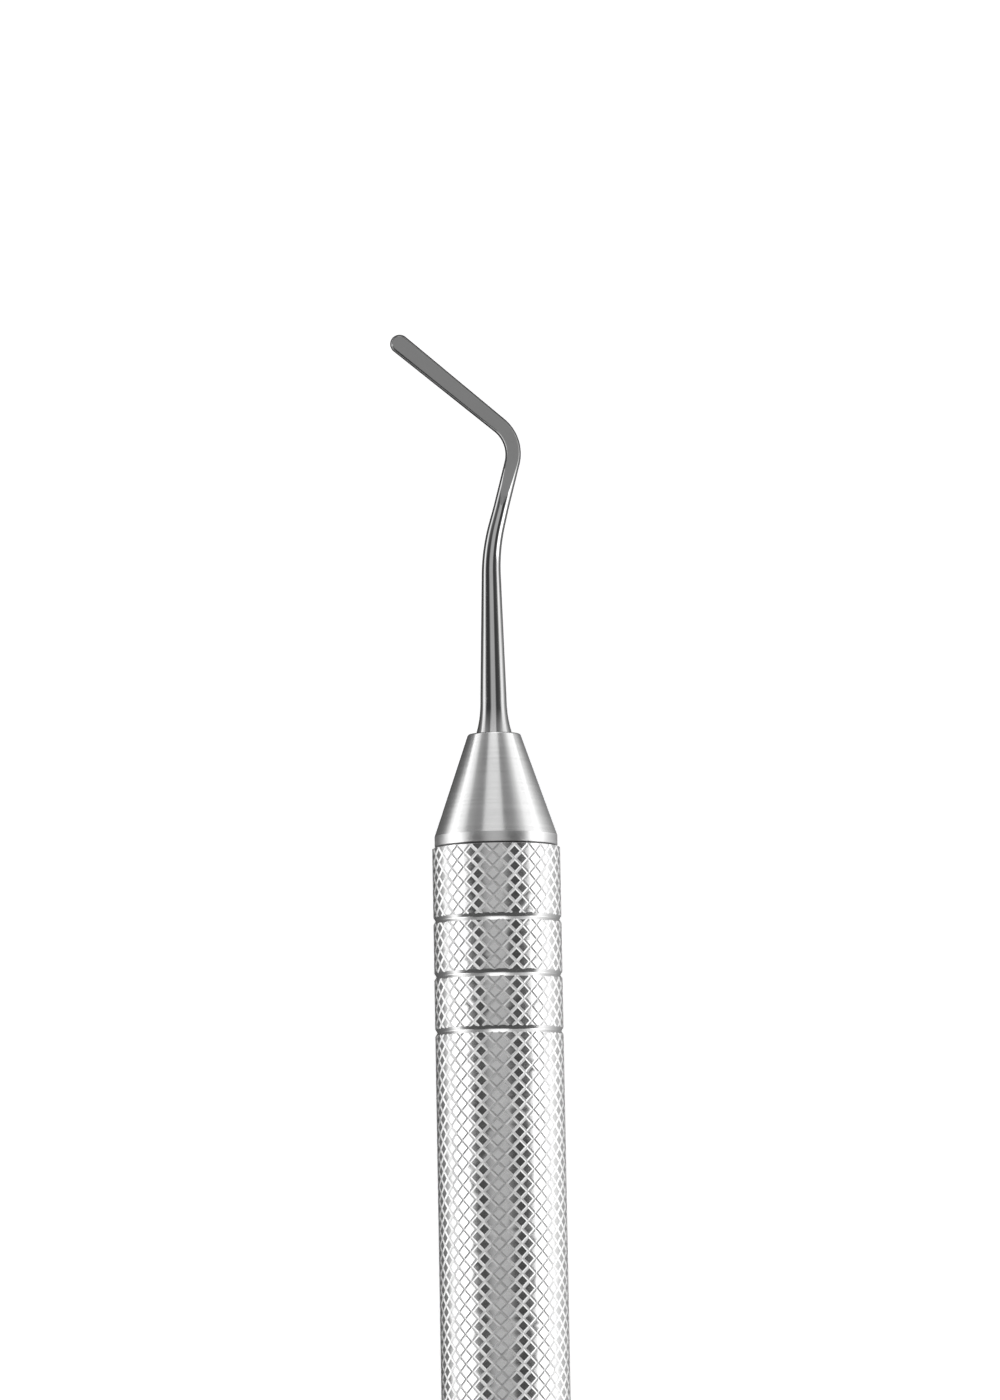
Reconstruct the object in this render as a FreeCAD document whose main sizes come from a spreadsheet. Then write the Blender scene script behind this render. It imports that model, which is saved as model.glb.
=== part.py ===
"""Double-ended dental hand instrument with a hollow knurled handle, in millimetres.

The handle lies along X with its middle at the origin. The bent ends lie in the XY plane and the
flats of both blades face +Z. End A points along +X; end B is the same end turned half a turn about Z.
"""

import FreeCAD, Part
import Sketcher
import math
import os

from FreeCAD import Placement, Rotation, Vector

DIMENSIONS = (
    ("tube_length", 96.0, "handle tube, end to end"),
    ("tube_diameter", 10.0, "handle tube over the knurled bands"),
    ("tube_wall", 0.8, "wall of the handle tube"),
    ("tube_edge_drop", 0.2, "turned edge of the tube, radial"),
    ("tube_edge_length", 0.3, "turned edge of the tube, along the axis"),
    ("groove_first", 5.7, "tube end to the centre of the first ring groove"),
    ("groove_pitch", 4.35, "from one ring groove to the next"),
    ("groove_depth", 0.2, "depth of a ring groove, with flanks at 45 degrees"),
    ("groove_floor", 0.18, "flat floor of a ring groove, along the axis"),
    ("bush_length", 12.0, "threaded bush in each end of the tube"),
    ("bush_recess", 0.2, "bush face behind the tube end"),
    ("stem_diameter", 5.0, "threaded stem of the nose cone"),
    ("stem_length", 7.8, "threaded stem behind the pilot"),
    ("stem_chamfer", 0.4, "chamfer at the end of the stem"),
    ("pilot_step", 0.75, "plain pilot above the stem, radial"),
    ("pilot_length", 2.8, "pilot, from the tube end inwards"),
    ("running_gap", 0.05, "radial clearance of the stem and the pilot in the bush"),
    ("pilot_end_gap", 0.3, "pilot end to the floor of its counterbore"),
    ("seal_section", 0.83, "diameter of the seal ring's section"),
    ("seal_groove_width", 1.2, "seal groove, along the axis"),
    ("seal_groove_inset", 0.7, "tube end to the near wall of the seal groove"),
    ("seal_gap", 0.01, "seal ring to the groove floor and to the bush"),
    ("lip_step", 0.2, "plain lip at the wide end of the nose cone, below the tube's surface"),
    ("lip_length", 0.9, "plain lip, along the axis"),
    ("cone_length", 8.0, "tapered part of the nose cone"),
    ("cone_face_diameter", 4.1, "front face of the nose cone"),
    ("cone_face_radius", 0.18, "rounded edge of the front face"),
    ("tang_diameter", 2.4, "tang pressed into the nose cone"),
    ("tang_length", 9.6, "tang, from the front face inwards"),
    ("tang_relief", 0.4, "space between the tang and the bottom of its bore"),
    ("shoulder_width", 0.225, "shoulder of the shank on the nose cone, outside the tang"),
    ("flare_length", 2.8, "concave flare of the shank"),
    ("flare_diameter", 2.05, "shank at the end of the flare"),
    ("bend_diameter", 1.5, "shank at the start of the first bend"),
    ("neck_diameter", 1.2, "neck between the two bends"),
    ("first_corner", 14.6, "front face to the corner of the first bend"),
    ("first_angle", 14.7, "turn of the first bend, in degrees"),
    ("first_radius", 15.5, "radius of the first bend"),
    ("neck_start", 3.4, "first corner to the start of the neck and of the ground flats"),
    ("neck_length", 8.95, "first corner to the second corner"),
    ("second_angle", 64.2, "turn of the second bend, in degrees"),
    ("second_radius", 3.0, "radius of the second bend"),
    ("blade_length", 12.07, "second corner to the centre of the round tip"),
    ("blade_root_width", 1.29, "blade just past the second bend"),
    ("blade_tip_width", 1.50, "blade at its round tip"),
    ("flat_knee", 0.34, "second corner to where the flats turn nearly parallel, along X"),
    ("knee_thickness", 0.72, "between the flats at the knee"),
    ("blade_thickness", 0.58, "between the flats at the tip"),
)
GROOVES_PER_END = 3
ENDS = (("a", 0.0), ("b", 180.0))
SHEET_NAME = "Sizes"
FLARE_STATIONS = 5
FLARE_POWER = 2.2
RING_COUNT = 61
LOFT_DEGREE = 5
LOFT_TOLERANCE = 0.02
BLADE_LENGTHS_ACROSS = 4

document = FreeCAD.newDocument("hand_instrument")


class Size:
    """A number together with the spreadsheet expression that gives it."""

    def __init__(self, value, text):
        self.value = value
        self.text = text

    def combined(self, other, value, sign, swapped=False):
        """Return the Size of two operands joined by a sign."""
        pair = (other.text, self.text) if swapped else (self.text, other.text)
        return Size(value, f"({pair[0]} {sign} {pair[1]})")

    def __add__(self, other):
        other = as_size(other)
        return self.combined(other, self.value + other.value, "+")

    def __sub__(self, other):
        other = as_size(other)
        return self.combined(other, self.value - other.value, "-")

    def __mul__(self, other):
        other = as_size(other)
        return self.combined(other, self.value * other.value, "*")

    def __truediv__(self, other):
        other = as_size(other)
        return self.combined(other, self.value / other.value, "/")

    def __neg__(self):
        return Size(-self.value, f"(0 - {self.text})")


def as_size(number):
    """Return a plain number as a Size, and a Size as it is."""
    return number if isinstance(number, Size) else Size(float(number), repr(float(number)))


def cosine(angle):
    """Return the cosine of a Size that counts degrees."""
    return Size(math.cos(math.radians(angle.value)), f"cos({angle.text} * 1deg)")


def make_sheet():
    """Write the driving dimensions into a spreadsheet, one row each."""
    sheet = document.addObject("Spreadsheet::Sheet", SHEET_NAME)
    for row, (name, value, note) in enumerate(DIMENSIONS, start=1):
        sheet.set(f"A{row}", note)
        sheet.set(f"B{row}", str(value))
        sheet.setAlias(f"B{row}", name)
    document.recompute()
    return sheet


sheet = make_sheet()


def size(name):
    """Return the spreadsheet cell with this alias as a Size."""
    return Size(float(sheet.get(name)), f"{SHEET_NAME}.{name}")


def origin_plane(body, role):
    """Return the body's own origin plane with this role."""
    return next(feature for feature in body.Origin.OriginFeatures if feature.Role == role)


def new_body(label, turn):
    """Make an empty body, turned about Z, whose label names the sub-part."""
    body = document.addObject("PartDesign::Body", "Body_" + label)
    body.Label = label
    body.Placement = Placement(Vector(), Rotation(Vector(0, 0, 1), turn))
    return body


def place_point(sketch, edge, end, point):
    """Fix one end of an edge at a point given by two Sizes."""
    for direction, axis_line, coordinate in (("DistanceX", -2, point[0]), ("DistanceY", -1, point[1])):
        if coordinate.value == 0.0:
            sketch.addConstraint(Sketcher.Constraint("PointOnObject", edge, end, axis_line))
            continue
        index = sketch.addConstraint(
            Sketcher.Constraint(direction, -1, 1, edge, end, coordinate.value)
        )
        sketch.setExpression(f"Constraints[{index}]", coordinate.text)


def add_polygon(sketch, points):
    """Add a closed polygon whose every corner is bound to the spreadsheet."""
    corners = [(as_size(across), as_size(up)) for across, up in points]
    vectors = [Vector(across.value, up.value, 0) for across, up in corners]
    first = sketch.GeometryCount
    count = len(corners)
    for index in range(count):
        sketch.addGeometry(Part.LineSegment(vectors[index], vectors[(index + 1) % count]), False)
    for index in range(count):
        following = first + (index + 1) % count
        sketch.addConstraint(Sketcher.Constraint("Coincident", first + index, 2, following, 1))
        place_point(sketch, first + index, 1, corners[index])


def turned(body, kind, name, polygons):
    """Turn closed polygons of a lengthwise section about X, as an added or a removed shape."""
    section = body.newObject("Sketcher::SketchObject", name + "_section_" + body.Label)
    section.AttachmentSupport = [(origin_plane(body, "XY_Plane"), "")]
    section.MapMode = "FlatFace"
    for points in polygons:
        add_polygon(section, points)
    feature = body.newObject(kind, name + "_" + body.Label)
    feature.Profile = section
    feature.ReferenceAxis = (section, ["H_Axis"])
    feature.Angle = 360.0
    document.recompute()
    return feature


def cut_turned(body, name, polygons):
    """Remove turned polygons from a body and make sure that they cut it."""
    before = body.Shape.Volume
    turned(body, "PartDesign::Groove", name, polygons)
    if body.Shape.Volume >= before:
        raise RuntimeError(f"{name} removes nothing from {body.Label}")


TUBE_END = size("tube_length") / 2
TUBE_RADIUS = size("tube_diameter") / 2
BORE_RADIUS = TUBE_RADIUS - size("tube_wall")
PILOT_END = TUBE_END - size("pilot_length")
COUNTERBORE_FLOOR = PILOT_END - size("pilot_end_gap")
STEM_RADIUS = size("stem_diameter") / 2
PILOT_RADIUS = STEM_RADIUS + size("pilot_step")
COUNTERBORE_RADIUS = PILOT_RADIUS + size("running_gap")
SEAL_FLOOR_RADIUS = COUNTERBORE_RADIUS - size("seal_section") - size("seal_gap") * 2
TANG_RADIUS = size("tang_diameter") / 2
SHANK_ROOT_RADIUS = TANG_RADIUS + size("shoulder_width")
CONE_START = TUBE_END + size("lip_length")
CONE_FACE = CONE_START + size("cone_length")
SEAL_NEAR_WALL = TUBE_END - size("seal_groove_inset")


def make_handle_tube():
    """Make the handle tube with its turned edges and its ring grooves."""
    body = new_body("handle_tube", 0.0)
    edge_radius = TUBE_RADIUS - size("tube_edge_drop")
    edge_start = TUBE_END - size("tube_edge_length")
    outline = [
        (-TUBE_END, BORE_RADIUS),
        (-TUBE_END, edge_radius),
        (-edge_start, TUBE_RADIUS),
        (edge_start, TUBE_RADIUS),
        (TUBE_END, edge_radius),
        (TUBE_END, BORE_RADIUS),
    ]
    turned(body, "PartDesign::Revolution", "wall", [outline])
    cut_turned(body, "ring_grooves", [ring_groove(side, place) for side in (-1, 1)
                                      for place in range(GROOVES_PER_END)])
    return body


def ring_groove(side, place):
    """Return the section of one ring groove, counted from the tube end on that side.

    The section stands out of the surface by the groove's depth, and its flanks rise at 45 degrees.
    """
    from_end = size("groove_first") + size("groove_pitch") * place
    centre = (TUBE_END - from_end) * side
    depth = size("groove_depth")
    half_floor = size("groove_floor") / 2
    half_mouth = half_floor + depth * 2
    return [
        (centre - half_floor, TUBE_RADIUS - depth),
        (centre + half_floor, TUBE_RADIUS - depth),
        (centre + half_mouth, TUBE_RADIUS + depth),
        (centre - half_mouth, TUBE_RADIUS + depth),
    ]


def make_end_bush(end, turn):
    """Make the threaded bush that is pressed into one end of the tube."""
    body = new_body("end_bush_" + end, turn)
    face = TUBE_END - size("bush_recess")
    back = face - size("bush_length")
    thread_radius = STEM_RADIUS + size("running_gap")
    outline = [
        (back, thread_radius),
        (COUNTERBORE_FLOOR, thread_radius),
        (COUNTERBORE_FLOOR, COUNTERBORE_RADIUS),
        (face, COUNTERBORE_RADIUS),
        (face, BORE_RADIUS),
        (back, BORE_RADIUS),
    ]
    turned(body, "PartDesign::Revolution", "bush", [outline])
    return body


def make_nose_cone(end, turn):
    """Make the nose cone with its lip, pilot, threaded stem and blind bore for the tang."""
    body = new_body("nose_cone_" + end, turn)
    stem_end = PILOT_END - size("stem_length")
    lip_radius = TUBE_RADIUS - size("lip_step")
    chamfer = size("stem_chamfer")
    outline = [
        (stem_end, 0),
        (stem_end, STEM_RADIUS - chamfer),
        (stem_end + chamfer, STEM_RADIUS),
        (PILOT_END, STEM_RADIUS),
        (PILOT_END, PILOT_RADIUS),
        (TUBE_END, PILOT_RADIUS),
        (TUBE_END, lip_radius),
        (CONE_START, lip_radius),
        (CONE_FACE, size("cone_face_diameter") / 2),
        (CONE_FACE, 0),
    ]
    turned(body, "PartDesign::Revolution", "cone", [outline])
    round_face_edge(body)
    bore_bottom = CONE_FACE - size("tang_length") - size("tang_relief")
    seal_far_wall = SEAL_NEAR_WALL - size("seal_groove_width")
    tang_bore = [
        (bore_bottom, 0),
        (bore_bottom, TANG_RADIUS),
        (CONE_FACE, TANG_RADIUS),
        (CONE_FACE, 0),
    ]
    seal_groove = [
        (seal_far_wall, SEAL_FLOOR_RADIUS),
        (SEAL_NEAR_WALL, SEAL_FLOOR_RADIUS),
        (SEAL_NEAR_WALL, COUNTERBORE_RADIUS),
        (seal_far_wall, COUNTERBORE_RADIUS),
    ]
    cut_turned(body, "tang_bore", [tang_bore])
    cut_turned(body, "seal_groove", [seal_groove])
    return body


def round_face_edge(body):
    """Round the outer edge of the nose cone's front face."""
    tip = body.Tip
    names = [
        f"Edge{index}"
        for index, edge in enumerate(tip.Shape.Edges, start=1)
        if isinstance(edge.Curve, Part.Circle)
        and math.isclose(edge.Curve.Center.x, CONE_FACE.value, abs_tol=1e-6)
        and math.isclose(edge.Curve.Radius, size("cone_face_diameter").value / 2, abs_tol=1e-6)
    ]
    if len(names) != 1:
        raise RuntimeError(f"{body.Label} has {len(names)} front edges to round")
    fillet = body.newObject("PartDesign::Fillet", "face_edge_" + body.Label)
    fillet.Base = (tip, names)
    fillet.setExpression("Radius", size("cone_face_radius").text)
    document.recompute()


def make_seal_ring(end, turn):
    """Make the seal ring that fills the height of its groove in the pilot."""
    ring = document.addObject("Part::Torus", "Torus_seal_ring_" + end)
    ring.Label = "seal_ring_" + end
    ring.setExpression("Radius1", ((COUNTERBORE_RADIUS + SEAL_FLOOR_RADIUS) / 2).text)
    ring.setExpression("Radius2", (size("seal_section") / 2).text)
    centre = SEAL_NEAR_WALL - size("seal_groove_width") / 2
    across = Placement(Vector(centre.value, 0, 0), Rotation(Vector(0, 1, 0), 90))
    ring.Placement = Placement(Vector(), Rotation(Vector(0, 0, 1), turn)) * across
    return ring


class Centreline:
    """The line through the middle of a bent end, from the nose cone's face to the tip centre."""

    def __init__(self):
        self.point = Vector(CONE_FACE.value, 0, 0)
        self.heading = 0.0
        self.travelled = 0.0
        self.spans = []
        first_setback = self.setback("first")
        second_setback = self.setback("second")
        self.run(number("first_corner") - first_setback)
        self.first_bend_start = self.travelled
        self.bend(-number("first_angle"), number("first_radius"))
        self.run(number("neck_length") - first_setback - second_setback)
        self.second_bend_start = self.travelled
        self.bend(number("second_angle"), number("second_radius"))
        self.second_bend_end = self.travelled
        self.run(number("blade_length") - second_setback)

    @staticmethod
    def setback(bend):
        """Return the distance from a bend's corner to either end of its arc."""
        return number(bend + "_radius") * math.tan(math.radians(number(bend + "_angle")) / 2)

    def run(self, length):
        """Go straight ahead."""
        if length <= 0:
            raise RuntimeError("a straight run of the bent end has no length left")
        self.spans.append((self.travelled, self.point, self.heading, 0.0))
        self.point = self.point + heading_vector(self.heading) * length
        self.travelled += length

    def bend(self, angle, radius):
        """Turn by an angle in degrees, to the left when it is positive."""
        curvature = math.copysign(1 / radius, angle)
        self.spans.append((self.travelled, self.point, self.heading, curvature))
        self.point, self.heading = step(self.point, self.heading, curvature,
                                        math.radians(abs(angle)) * radius)
        self.travelled += math.radians(abs(angle)) * radius

    def at(self, distance):
        """Return the point and the heading at a distance along the line."""
        start, point, heading, curvature = [span for span in self.spans
                                            if span[0] <= distance + 1e-9][-1]
        return step(point, heading, curvature, distance - start)


def heading_vector(heading):
    """Return the unit vector of a heading in radians, counted from +X towards +Y."""
    return Vector(math.cos(heading), math.sin(heading), 0)


def step(point, heading, curvature, length):
    """Follow a line of constant curvature and return the new point and heading."""
    if curvature == 0.0:
        return point + heading_vector(heading) * length, heading
    turned_heading = heading + curvature * length
    centre = point + heading_vector(heading + math.pi / 2) * (1 / curvature)
    return centre - heading_vector(turned_heading + math.pi / 2) * (1 / curvature), turned_heading


def number(name):
    """Return the spreadsheet cell with this alias as a plain number."""
    return size(name).value


def between(first, last, count):
    """Return evenly spaced values from first to last, both included."""
    return [first + (last - first) * index / (count - 1) for index in range(count)]


def shank_stations(line):
    """Return distance and diameter pairs, between which the shank's taper is even."""
    flare_rise = SHANK_ROOT_RADIUS.value * 2 - number("flare_diameter")
    stations = [
        (number("flare_length") * share,
         number("flare_diameter") + flare_rise * (1 - share) ** FLARE_POWER)
        for share in between(0.0, 1.0, FLARE_STATIONS)
    ]
    stations.append((line.first_bend_start, number("bend_diameter")))
    stations.append((number("first_corner") + number("neck_start"), number("neck_diameter")))
    stations.append((line.second_bend_start, number("neck_diameter")))
    stations.append((line.second_bend_end, number("blade_root_width")))
    stations.append((line.travelled, number("blade_tip_width")))
    return stations


def diameter_at(stations, distance):
    """Return the diameter at a distance, by an even taper between the stations around it."""
    pairs = zip(stations, stations[1:])
    (start, first), (stop, last) = [pair for pair in pairs if pair[0][0] <= distance][-1]
    return first + (last - first) * (distance - start) / (stop - start)


def make_round_blank(end, line):
    """Make the round, bent and tapered blank by lofting circles along the centreline."""
    stations = shank_stations(line)
    rings = []
    radii = []
    for distance in between(0.0, line.travelled, RING_COUNT):
        point, heading = line.at(distance)
        radii.append(diameter_at(stations, distance) / 2)
        rings.append(Part.Wire(Part.makeCircle(radii[-1], point, heading_vector(heading))))
    blank = document.addObject("Part::Feature", "Blank_" + end)
    blank.Shape = Part.makeLoft(rings, True, False, False, LOFT_DEGREE)
    spacing = line.travelled / (RING_COUNT - 1)
    slices = [math.pi * spacing * ((first + last) / 2) ** 2 for first, last in zip(radii, radii[1:])]
    if not math.isclose(blank.Shape.Volume, sum(slices), rel_tol=LOFT_TOLERANCE):
        raise RuntimeError("the lofted blank strays from its circles")
    return blank


def make_tip(end, line):
    """Make the half ball that rounds the end of the blank."""
    tip = document.addObject("Part::Sphere", "Tip_" + end)
    tip.setExpression("Radius", (size("blade_tip_width") / 2).text)
    tip.Angle1 = 0
    tip.Angle2 = 90
    point, heading = line.at(line.travelled)
    tip.Placement = Placement(point, Rotation(Vector(0, 0, 1), heading_vector(heading)))
    return tip


def make_tang(end):
    """Make the plain tang behind the shank's shoulder."""
    tang = document.addObject("Part::Cylinder", "Tang_" + end)
    tang.setExpression("Radius", TANG_RADIUS.text)
    tang.setExpression("Height", size("tang_length").text)
    start = CONE_FACE - size("tang_length")
    tang.Placement = Placement(Vector(start.value, 0, 0), Rotation(Vector(0, 1, 0), 90))
    return tang


def make_flats(end):
    """Make the thin wedge that is left between the two ground flats, seen from the side."""
    section = document.addObject("Sketcher::SketchObject", "Flats_section_" + end)
    section.Placement = Placement(Vector(), Rotation(Vector(1, 0, 0), 90))
    clear_of_shank = SHANK_ROOT_RADIUS * 2
    back = CONE_FACE - size("tang_length") - size("tang_relief")
    first_corner = CONE_FACE + size("first_corner")
    second_corner = first_corner + size("neck_length") * cosine(size("first_angle"))
    start = first_corner + size("neck_start")
    knee = second_corner + size("flat_knee")
    blade_angle = size("second_angle") - size("first_angle")
    tip_centre = second_corner + size("blade_length") * cosine(blade_angle)
    tip = tip_centre + size("blade_tip_width") / 2
    past_tip = tip + size("blade_tip_width")
    upper = [
        (back, clear_of_shank),
        (start - size("neck_diameter"), clear_of_shank),
        (start, size("neck_diameter") / 2),
        (knee, size("knee_thickness") / 2),
        (tip, size("blade_thickness") / 2),
        (past_tip, size("blade_thickness") / 2),
    ]
    lower = [(along, -up) for along, up in reversed(upper)]
    add_polygon(section, upper + lower)
    flats = document.addObject("Part::Extrusion", "Flats_" + end)
    flats.Base = section
    flats.Dir = Vector(0, 1, 0)
    flats.Symmetric = True
    flats.Solid = True
    flats.setExpression("LengthFwd", (size("blade_length") * BLADE_LENGTHS_ACROSS).text)
    return flats


def make_working_end(end, turn):
    """Make a working end: a round bent shank and tang, with the blade ground flat on both sides."""
    line = Centreline()
    blank = make_round_blank(end, line)
    stock = document.addObject("Part::MultiFuse", "Stock_" + end)
    stock.Shapes = [blank, make_tip(end, line), make_tang(end)]
    working_end = document.addObject("Part::Common", "Working_end_" + end)
    working_end.Base = stock
    working_end.Tool = make_flats(end)
    working_end.Label = "working_end_" + end
    working_end.Placement = Placement(Vector(), Rotation(Vector(0, 0, 1), turn))
    return working_end


def make_sub_parts():
    """Build every sub-part."""
    sub_parts = [make_handle_tube()]
    for end, turn in ENDS:
        sub_parts.append(make_end_bush(end, turn))
        sub_parts.append(make_nose_cone(end, turn))
        sub_parts.append(make_seal_ring(end, turn))
        sub_parts.append(make_working_end(end, turn))
    document.recompute()
    return sub_parts


def check(sub_parts):
    """Stop if any object failed or any sub-part is not one valid solid."""
    for item in document.Objects:
        if {"Invalid", "Error"} & set(item.State):
            raise RuntimeError(f"{item.Label} is {item.State}")
    for sub_part in sub_parts:
        shape = sub_part.Shape
        if shape.isNull() or not shape.isValid() or len(shape.Solids) != 1:
            raise RuntimeError(f"{sub_part.Label} is not one valid solid")


def export(sub_parts):
    """Write each sub-part's shape to its own STEP file."""
    os.makedirs("parts", exist_ok=True)
    for sub_part in sub_parts:
        sub_part.Shape.exportStep(f"parts/{sub_part.Label}.step")
        box = sub_part.Shape.BoundBox
        print(f"{sub_part.Label}: volume {sub_part.Shape.Volume:.2f}, "
              f"x {box.XMin:.2f}..{box.XMax:.2f}, y {box.YMin:.2f}..{box.YMax:.2f}, "
              f"z {box.ZMin:.2f}..{box.ZMax:.2f}")


finished = make_sub_parts()
check(finished)
export(finished)
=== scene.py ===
"""Looks of a double-ended dental hand instrument with a hollow knurled handle.

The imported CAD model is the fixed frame: the handle lies along X on a pale floor, and the flats of both
blades face +Z. Pieces are modelled here in millimetres and brought to metres when they are finished.
"""

import logging
import math
from dataclasses import dataclass
from enum import Enum
from itertools import accumulate
from typing import Callable, Optional, Sequence

import bmesh
import bpy
from bpy.types import Material, Node, NodeSocket, NodeTree, Object
from mathutils import Matrix, Vector

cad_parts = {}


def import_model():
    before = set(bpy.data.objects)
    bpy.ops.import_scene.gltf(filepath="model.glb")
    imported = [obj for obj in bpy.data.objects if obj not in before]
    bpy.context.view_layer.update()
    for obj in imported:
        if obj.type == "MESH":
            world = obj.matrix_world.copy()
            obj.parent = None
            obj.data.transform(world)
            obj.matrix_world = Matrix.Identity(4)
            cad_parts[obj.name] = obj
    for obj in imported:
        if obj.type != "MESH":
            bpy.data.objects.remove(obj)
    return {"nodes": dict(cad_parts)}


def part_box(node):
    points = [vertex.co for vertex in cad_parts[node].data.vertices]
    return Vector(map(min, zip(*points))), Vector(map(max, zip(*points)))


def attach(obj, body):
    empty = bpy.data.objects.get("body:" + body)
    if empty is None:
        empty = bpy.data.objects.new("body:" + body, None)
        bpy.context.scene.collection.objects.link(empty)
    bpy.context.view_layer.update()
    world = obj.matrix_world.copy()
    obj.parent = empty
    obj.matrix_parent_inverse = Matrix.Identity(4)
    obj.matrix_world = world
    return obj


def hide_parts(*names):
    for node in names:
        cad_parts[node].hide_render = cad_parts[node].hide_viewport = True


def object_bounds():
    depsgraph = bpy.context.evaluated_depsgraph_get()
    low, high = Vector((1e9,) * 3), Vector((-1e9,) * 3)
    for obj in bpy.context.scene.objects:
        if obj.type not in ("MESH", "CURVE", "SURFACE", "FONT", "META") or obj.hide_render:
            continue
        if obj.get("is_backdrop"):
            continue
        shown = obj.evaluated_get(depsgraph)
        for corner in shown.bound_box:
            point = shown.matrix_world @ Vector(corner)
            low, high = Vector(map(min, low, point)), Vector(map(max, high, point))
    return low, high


LOG = logging.getLogger("hand_instrument")
MILLIMETRE = 0.001
TIGHT = 1e-5  # tolerance of a selection by place, in millimetres
SHY = 0.003  # how far the handle stays inside the CAD box, in millimetres
ROOT = "root"
Pair = tuple[float, float]
Point = tuple[float, float, float]
Change = tuple[float, float, float, float]  # from a value, to a value, and what the two become
Stops = tuple[Pair, ...]


class Slot(Enum):
    """The record's material slots, one for each kind of modelled piece."""

    KNURLED = "knurled_steel"
    TURNED = "turned_steel"
    POLISHED = "polished_steel"


class End(Enum):
    """The two ends of the instrument, by the letter that ends the names of their pieces."""

    A = "a"
    B = "b"


# ---- Modelling helpers ----


def millimetres(corner: Vector) -> Vector:
    """Return a corner of a CAD box in millimetres."""
    return corner / MILLIMETRE


def only(piece: Object) -> None:
    """Make one object the selected and active one.

    Args:
        piece: The object to work on.
    """
    bpy.ops.object.select_all(action="DESELECT")
    piece.select_set(True)
    bpy.context.view_layer.objects.active = piece


def select_where(kind: str, test: Callable[[object], bool]) -> int:
    """Select, in edit mode, only the items of one kind that pass a test, and what lies between them.

    Args:
        kind: VERT, EDGE or FACE.
        test: Says whether an item is wanted.

    Returns:
        The number of items selected.
    """
    mesh = bpy.context.edit_object.data
    bpy.ops.mesh.select_mode(type=kind)
    bpy.ops.mesh.select_all(action="DESELECT")
    shape = bmesh.from_edit_mesh(mesh)
    items = {"VERT": shape.verts, "EDGE": shape.edges, "FACE": shape.faces}[kind]
    wanted = [item for item in items if test(item)]
    for item in wanted:
        item.select = True
    shape.select_flush_mode()
    bmesh.update_edit_mesh(mesh)
    return len(wanted)


def apply_transform() -> None:
    """Apply the place, turn and scale of the selected object."""
    bpy.ops.object.transform_apply(location=True, rotation=True, scale=True)


def begin_shape(name: str) -> Object:
    """Name the primitive that was just added and start to edit all of it.

    Args:
        name: The piece's name.

    Returns:
        The piece.
    """
    piece = bpy.context.object
    piece.name = name
    apply_transform()
    bpy.ops.object.mode_set(mode="EDIT")
    bpy.ops.mesh.select_all(action="SELECT")
    return piece


def extrude(way: Sequence[float]) -> None:
    """Extrude the selected end of a shape and move it this way."""
    bpy.ops.mesh.extrude_region_move(TRANSFORM_OT_translate={"value": way})


def end_shape() -> None:
    """Turn every face outward and leave edit mode."""
    bpy.ops.mesh.select_all(action="SELECT")
    bpy.ops.mesh.normals_make_consistent(inside=False)
    bpy.ops.object.mode_set(mode="OBJECT")


def apply_modifier(piece: Object, kind: str, **settings: object) -> None:
    """Add a modifier to a piece and apply it.

    Args:
        piece: The object to change.
        kind: The modifier's type.
        **settings: The modifier's own settings.
    """
    only(piece)
    modifier = piece.modifiers.new(kind.lower(), kind)
    for name, value in settings.items():
        setattr(modifier, name, value)
    bpy.ops.object.modifier_apply(modifier=modifier.name)


def turned_piece(name: str, outline: Sequence[Pair], segments: int) -> Object:
    """Model a piece turned about X, by extruding a circle along a lengthwise outline.

    Args:
        name: The piece's name.
        outline: Distance along X and radius of each corner, all radii above zero, from the first
            face's edge to the last's.
        segments: Number of flats round the piece.

    Returns:
        The piece, with flat end faces.
    """
    start, radius = outline[0]
    bpy.ops.mesh.primitive_circle_add(vertices=segments, radius=radius, fill_type="NGON",
                                      rotation=(0, -math.pi / 2, 0))
    piece = begin_shape(name)
    bpy.ops.transform.translate(value=(start, 0, 0))
    for along, next_radius in outline[1:]:
        extrude((along - start, 0, 0))
        ratio = next_radius / radius
        bpy.ops.transform.resize(value=(1, ratio, ratio), center_override=(along, 0, 0))
        start, radius = along, next_radius
    end_shape()
    return piece


@dataclass(frozen=True)
class Dress:
    """What a shape gets when it is finished.

    Attributes:
        slot: The record's material slot that it belongs to. It is not used.
        materials: Its materials, in the order of its faces' material numbers.
        sharp_angle: Edges that turn more than this many degrees stay sharp.
    """

    slot: Slot
    materials: Sequence[Material]
    sharp_angle: float

    def finish(self, piece: Object, *nodes: str) -> None:
        """Bring a piece to metres, shade it, dress it and hang it on the instrument's body.

        Args:
            piece: The piece, modelled in millimetres with its object at the origin.
            *nodes: CAD nodes that the piece stands for.
        """
        only(piece)
        piece.scale = (MILLIMETRE,) * 3
        apply_transform()
        bpy.ops.object.shade_smooth_by_angle(angle=math.radians(self.sharp_angle))
        for index, material in enumerate(self.materials):
            if index < len(piece.data.materials):
                piece.data.materials[index] = material
            else:
                piece.data.materials.append(material)
        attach(piece, ROOT)
        if nodes:
            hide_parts(*nodes)
        LOG.info("%s: %d faces", piece.name, len(piece.data.polygons))

    def finish_pair(self, piece: Object, *nodes: str) -> None:
        """Copy a piece of end A to end B, half a turn about Z, and finish both.

        Args:
            piece: The shape of end A, in millimetres, whose name ends in the end's letter.
            *nodes: CAD nodes that it stands for, without the end's letter.
        """
        only(piece)
        bpy.ops.object.duplicate(linked=False)
        copy = bpy.context.object
        copy.name = piece.name[:-1] + End.B.value
        copy.rotation_euler = (0, 0, math.pi)
        apply_transform()
        for shape, end in ((piece, End.A), (copy, End.B)):
            self.finish(shape, *(node + end.value for node in nodes))


# ---- Finishes ----


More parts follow.
